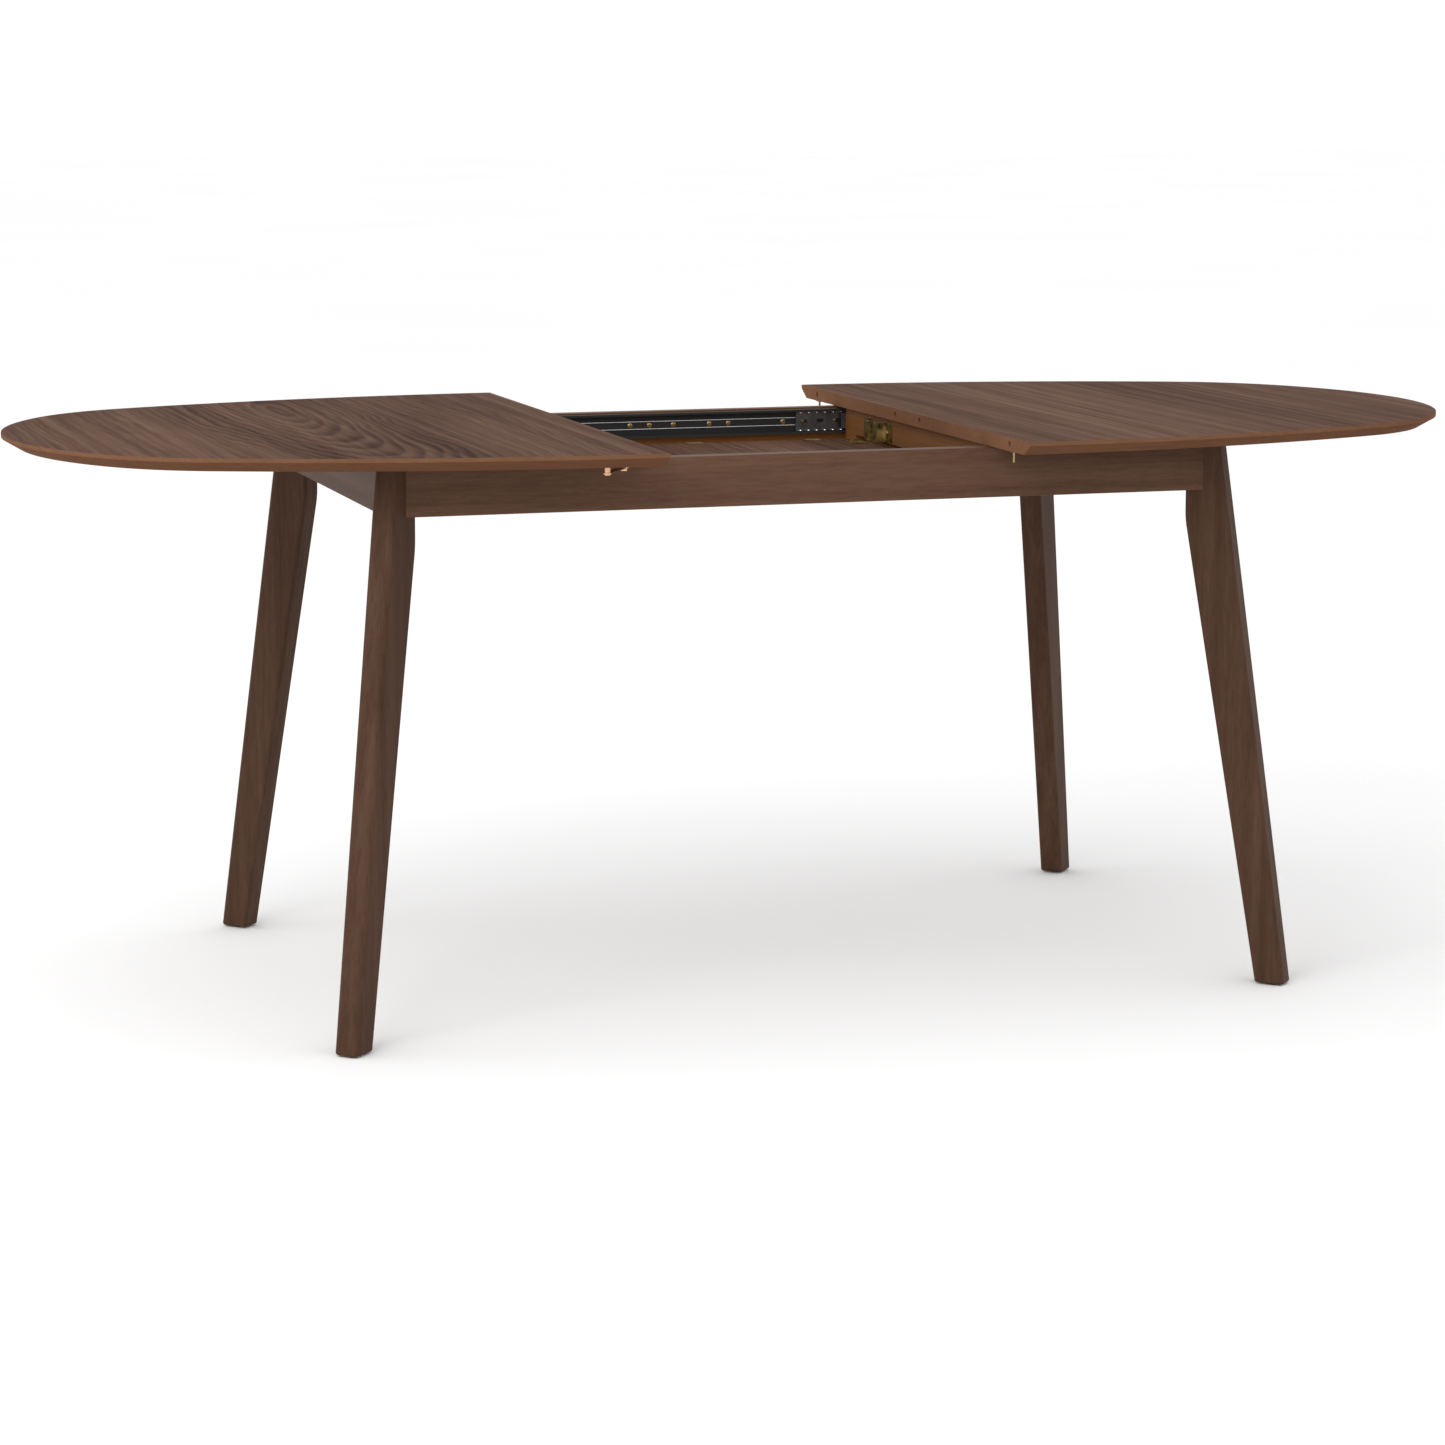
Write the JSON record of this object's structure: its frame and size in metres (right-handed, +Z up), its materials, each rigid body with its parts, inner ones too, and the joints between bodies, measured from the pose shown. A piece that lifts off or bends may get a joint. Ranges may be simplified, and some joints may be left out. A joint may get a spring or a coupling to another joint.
{
  "type": "extendable dining table",
  "caption": "Oval veneered dining table drawn open on steel ball slides, with a folded extension leaf stored in the frame and splayed legs set across the corners.",
  "frame": {"origin": "on the floor, under the centre of the opened table", "axes": "+X along the table's length, +Y towards its back long side, +Z up"},
  "size_m": [1.9998, 0.89, 0.75],
  "materials": {
    "veneered_board": "satin walnut veneer",
    "leg_wood": "satin stained walnut",
    "apron_wood": "satin stained walnut",
    "frame_wood": "sealed orange-brown wood",
    "dowel_wood": "plain beech",
    "black_steel": "black coated steel",
    "grey_steel": "grey rolled steel",
    "bearing_steel": "polished",
    "brass_plated_screws": "yellow plated steel",
    "yellow_zinc": "yellow zinc plated steel",
    "hinge_brass": "plain brass",
    "nylon": "brown nylon",
    "zinc_steel": "bright zinc plated steel"
  },
  "bodies": {
    "frame": {"back_apron": "apron_wood", "block_screws": "brass_plated_screws", "corner_blocks": "frame_wood", "corner_bolts": "zinc_steel", "corner_nuts": "zinc_steel", "corner_washers": "zinc_steel", "foot_glides": "nylon", "frame_round_screws": "brass_plated_screws", "front_apron": "apron_wood", "hinge_pins": "hinge_brass", "hinge_straps": "hinge_brass", "leaf_dowels": "dowel_wood", "leaf_half_lower": "veneered_board", "leaf_half_upper": "veneered_board", "leaf_hangers": "zinc_steel", "leaf_plates": "zinc_steel", "leaf_screws": "brass_plated_screws", "left_apron": "apron_wood", "leg_back_left": "leg_wood", "leg_back_right": "leg_wood", "leg_front_left": "leg_wood", "leg_front_right": "leg_wood", "right_apron": "apron_wood", "slide_channel_back": "black_steel", "slide_channel_front": "black_steel", "stretcher_dowels": "dowel_wood", "stretcher_left": "frame_wood", "stretcher_right": "frame_wood"},
    "top_left": {"bracket_left": "yellow_zinc", "crossbar_left_inner": "frame_wood", "crossbar_left_outer": "frame_wood", "crossbar_screws_left": "brass_plated_screws", "latch_plates": "zinc_steel", "latch_rivets": "zinc_steel", "latch_screws": "brass_plated_screws", "round_screws_left": "brass_plated_screws", "runner_left_back": "grey_steel", "runner_left_front": "grey_steel", "top_dowels": "dowel_wood", "top_left": "veneered_board"},
    "top_right": {"bracket_right": "yellow_zinc", "crossbar_right_inner": "frame_wood", "crossbar_right_outer": "frame_wood", "crossbar_screws_right": "brass_plated_screws", "keeper_screws": "brass_plated_screws", "keepers": "zinc_steel", "round_screws_right": "brass_plated_screws", "runner_right_back": "grey_steel", "runner_right_front": "grey_steel", "top_right": "veneered_board"},
    "cage_left_front": {"ball_cage_left_front": "grey_steel", "cage_balls_left_front": "bearing_steel"},
    "cage_left_back": {"ball_cage_left_back": "grey_steel", "cage_balls_left_back": "bearing_steel"},
    "cage_right_front": {"ball_cage_right_front": "grey_steel", "cage_balls_right_front": "bearing_steel"},
    "cage_right_back": {"ball_cage_right_back": "grey_steel", "cage_balls_right_back": "bearing_steel"},
    "lever_front": {"latch_lever_front": "zinc_steel"},
    "lever_back": {"latch_lever_back": "zinc_steel"}
  },
  "joints": [
    {"name": "top_left_slide", "type": "slide", "parent": "frame", "child": "top_left", "axis": [1, 0, 0], "range_m": [-0.015, 0.2398]},
    {"name": "top_right_slide", "type": "slide", "parent": "frame", "child": "top_right", "axis": [-1, 0, 0], "range_m": [-0.015, 0.2398]},
    {"name": "cage_left_front_slide", "type": "slide", "parent": "frame", "child": "cage_left_front", "axis": [1, 0, 0], "range_m": [-0.0076, 0.12]},
    {"name": "cage_left_back_slide", "type": "slide", "parent": "frame", "child": "cage_left_back", "axis": [1, 0, 0], "range_m": [-0.0076, 0.12]},
    {"name": "cage_right_front_slide", "type": "slide", "parent": "frame", "child": "cage_right_front", "axis": [-1, 0, 0], "range_m": [-0.0076, 0.12]},
    {"name": "cage_right_back_slide", "type": "slide", "parent": "frame", "child": "cage_right_back", "axis": [-1, 0, 0], "range_m": [-0.0076, 0.12]},
    {"name": "latch_front_turn", "type": "hinge", "parent": "top_left", "child": "lever_front", "pos_m": [-0.302, -0.378, 0.7205], "axis": [0, 0, 1], "range_deg": [-57, 0]},
    {"name": "latch_back_turn", "type": "hinge", "parent": "top_left", "child": "lever_back", "pos_m": [-0.302, 0.378, 0.7205], "axis": [0, 0, 1], "range_deg": [0, 57]}
  ],
  "couplings": [
    {"joint": "cage_left_front_slide", "follows": "top_left_slide", "ratio": 0.5},
    {"joint": "cage_left_back_slide", "follows": "top_left_slide", "ratio": 0.5},
    {"joint": "cage_right_front_slide", "follows": "top_right_slide", "ratio": 0.5},
    {"joint": "cage_right_back_slide", "follows": "top_right_slide", "ratio": 0.5}
  ]
}
